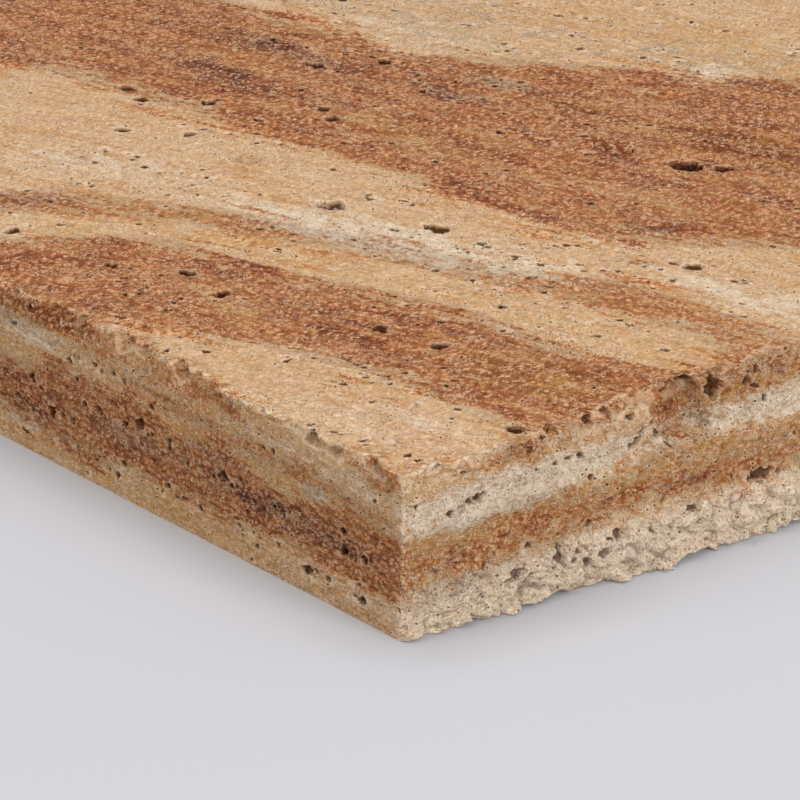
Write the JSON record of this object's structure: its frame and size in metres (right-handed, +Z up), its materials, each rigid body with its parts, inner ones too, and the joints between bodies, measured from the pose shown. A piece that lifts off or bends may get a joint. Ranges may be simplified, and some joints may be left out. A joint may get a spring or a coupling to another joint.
{
  "type": "travertine paver",
  "caption": "Square slab of red and cream banded travertine, sawn on two sides and split on the other two, with a brushed, pitted top and a flat underside.",
  "frame": {"origin": "on the underside, under the middle of the bounding box", "axes": "+Z up through the thickness to the brushed top; -Y out of the sawn side that faces the viewer's left in the picture; +X out of the split side that faces the viewer's right"},
  "size_m": [0.3184, 0.3, 0.03],
  "materials": {
    "stone": "brushed, matt, with open pores"
  },
  "bodies": {
    "root": {"travertine_slab": "stone"}
  },
  "joints": []
}
